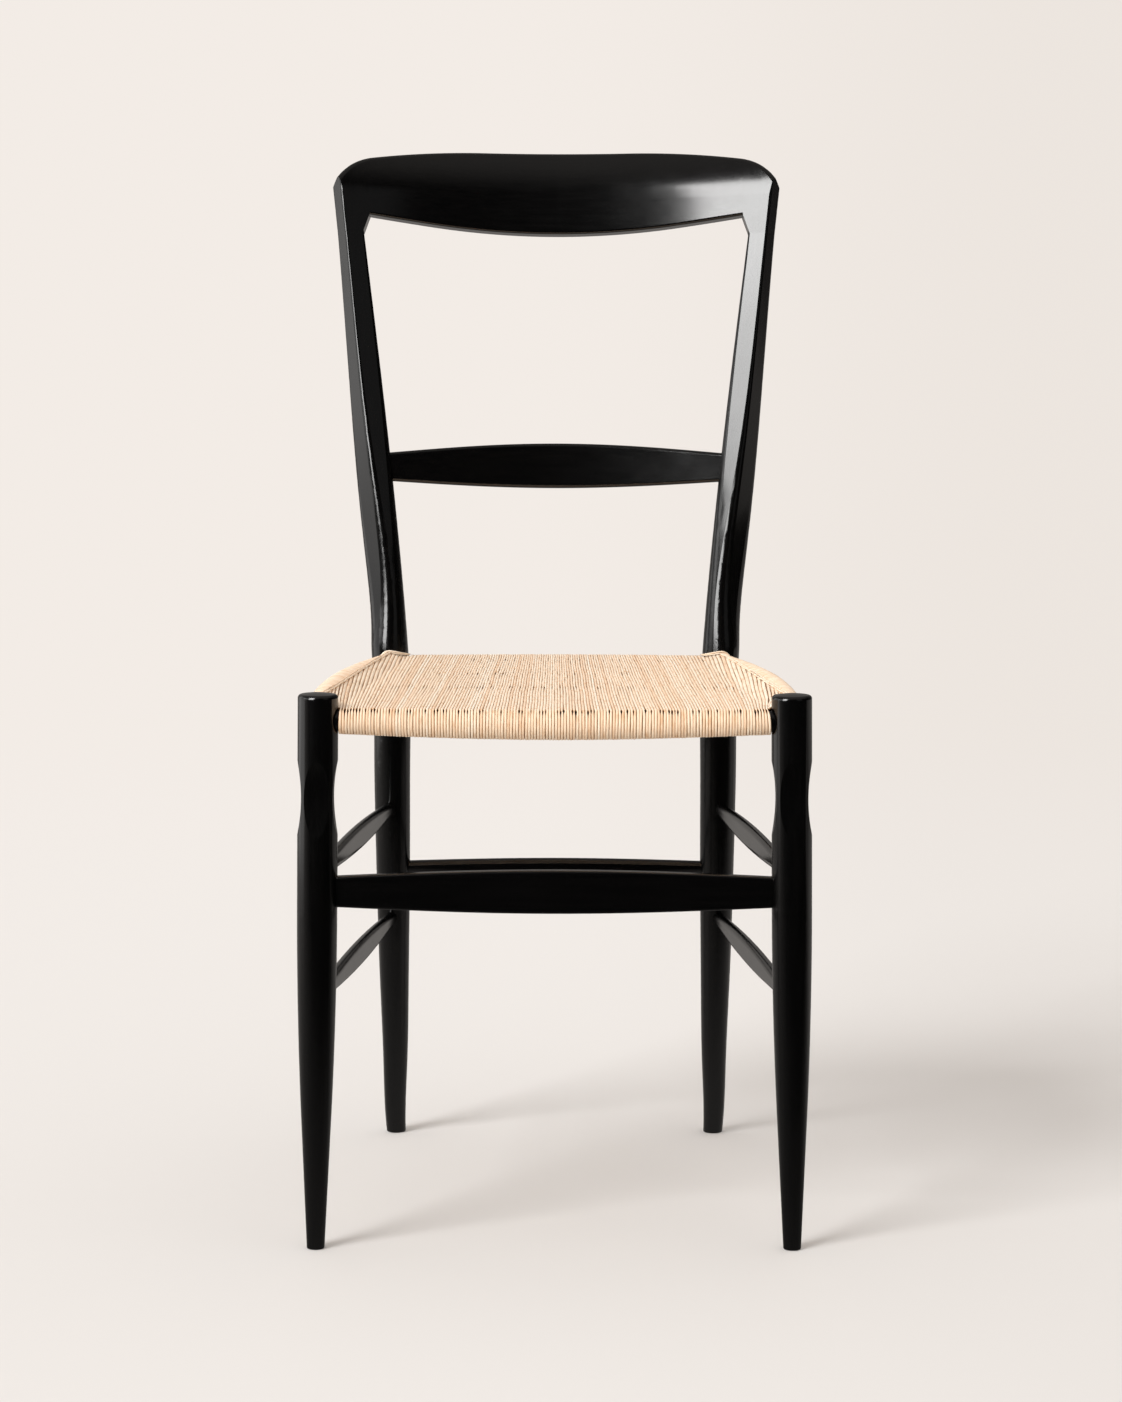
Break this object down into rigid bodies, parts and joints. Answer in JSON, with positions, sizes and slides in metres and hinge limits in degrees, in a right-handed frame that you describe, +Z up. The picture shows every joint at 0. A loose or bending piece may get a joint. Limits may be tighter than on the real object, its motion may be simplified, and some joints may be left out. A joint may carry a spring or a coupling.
{
  "type": "side chair",
  "caption": "Slender armless side chair: black lacquered frame with tapered legs, a bowed crest rail and slat, turned stretchers and a woven cane seat.",
  "frame": {"origin": "on the floor, at the middle of the chair's outer box", "axes": "+Z up, the front of the chair faces -Y, +X is on the right as the picture sees it"},
  "size_m": [0.4148, 0.4718, 0.8951],
  "materials": {
    "black_lacquer": "satin black lacquer over close-grained hardwood",
    "cane": "natural split cane, satin"
  },
  "bodies": {
    "root": {"front_leg_left": "black_lacquer", "front_leg_right": "black_lacquer", "back_post_left": "black_lacquer", "back_post_right": "black_lacquer", "crest_rail": "black_lacquer", "back_slat": "black_lacquer", "front_stretcher": "black_lacquer", "back_stretcher": "black_lacquer", "upper_side_stretcher_left": "black_lacquer", "upper_side_stretcher_right": "black_lacquer", "lower_side_stretcher_left": "black_lacquer", "lower_side_stretcher_right": "black_lacquer", "front_seat_rail": "black_lacquer", "back_seat_rail": "black_lacquer", "side_seat_rail_left": "black_lacquer", "side_seat_rail_right": "black_lacquer", "cane_warp": "cane", "cane_weft": "cane"}
  },
  "joints": []
}
